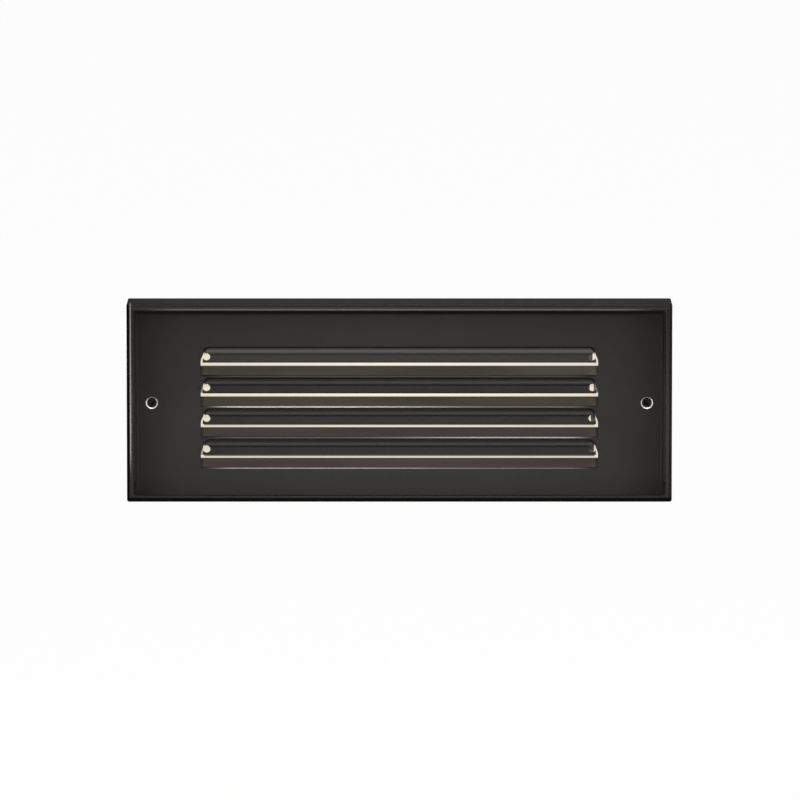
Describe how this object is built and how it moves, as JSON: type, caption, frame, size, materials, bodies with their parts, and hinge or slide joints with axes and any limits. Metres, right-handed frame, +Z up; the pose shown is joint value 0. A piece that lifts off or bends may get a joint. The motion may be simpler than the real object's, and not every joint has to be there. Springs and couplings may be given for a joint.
{
  "type": "step light",
  "caption": "Louvred step light for a brick wall: a black cast faceplate with hooded slots and a frosted lens over a recessed box with a capsule lamp.",
  "frame": {"origin": "on the wall's face, at the middle of the box's opening and of its four fixing holes", "axes": "+X along the wall to the right, +Y into the wall, +Z up; the light shines towards -Y"},
  "size_m": [0.235, 0.0961, 0.0868],
  "materials": {
    "black_powder_coat": "satin warm black powder coat on a casting",
    "cast_aluminium": "as-cast aluminium with a light grain",
    "frosted_glass": "sandblasted tempered glass",
    "grey_silicone": "matt moulded silicone",
    "black_foam": "closed-cell foam",
    "stainless": "turned stainless steel",
    "black_steel": "blackened stainless steel",
    "natural_nylon": "moulded nylon",
    "yellow_brass": "turned brass",
    "bright_aluminium": "bright rolled sheet",
    "zinc_plate": "bright zinc plated steel",
    "white_ceramic": "glazed steatite",
    "clear_glass": "clear quartz glass",
    "tungsten": "drawn wire",
    "grey_plastic": "moulded heat-proof plastic",
    "black_sleeve": "silicone sleeved lead",
    "white_sleeve": "silicone sleeved lead",
    "red_rubber": "heat-proof rubber",
    "green_screw": "green dyed steel"
  },
  "bodies": {
    "box": {"box_gasket": "grey_silicone", "back_box": "cast_aluminium", "screw_inserts": "yellow_brass", "conduit_plug_left": "zinc_plate", "conduit_plug_right": "zinc_plate", "reflector": "bright_aluminium", "reflector_screws": "zinc_plate", "lead_grommet": "red_rubber", "lampholder_bracket": "zinc_plate", "bracket_screws": "zinc_plate", "lampholder": "white_ceramic", "lampholder_contacts": "stainless", "lampholder_screws": "zinc_plate", "terminal_block": "grey_plastic", "terminal_clamps": "yellow_brass", "terminal_screws": "zinc_plate", "terminal_fixing_screw": "zinc_plate", "lead_line": "black_sleeve", "lead_neutral": "white_sleeve", "ground_screw": "green_screw", "ground_washer": "yellow_brass"},
    "faceplate": {"faceplate": "black_powder_coat", "wall_gasket": "black_foam", "lens": "frosted_glass", "lens_gasket": "grey_silicone", "lens_clips": "stainless", "lens_clip_screws": "stainless"},
    "screw_left": {"faceplate_screw_left": "black_steel", "screw_retainer_left": "natural_nylon"},
    "screw_right": {"faceplate_screw_right": "black_steel", "screw_retainer_right": "natural_nylon"},
    "lamp": {"lamp_envelope": "clear_glass", "lamp_pins": "stainless", "lamp_filament": "tungsten"}
  },
  "joints": [
    {"name": "faceplate_lift", "type": "slide", "parent": "box", "child": "faceplate", "axis": [0, -1, 0], "range_m": [0, 0.06]},
    {"name": "screw_left_turn", "type": "hinge", "parent": "faceplate", "child": "screw_left", "pos_m": [-0.1066, -0.01, 0], "axis": [0, 1, 0], "continuous": true},
    {"name": "screw_right_turn", "type": "hinge", "parent": "faceplate", "child": "screw_right", "pos_m": [0.1066, -0.01, 0], "axis": [0, 1, 0], "continuous": true},
    {"name": "lamp_pull", "type": "slide", "parent": "box", "child": "lamp", "axis": [1, 0, 0], "range_m": [0, 0.012]}
  ]
}
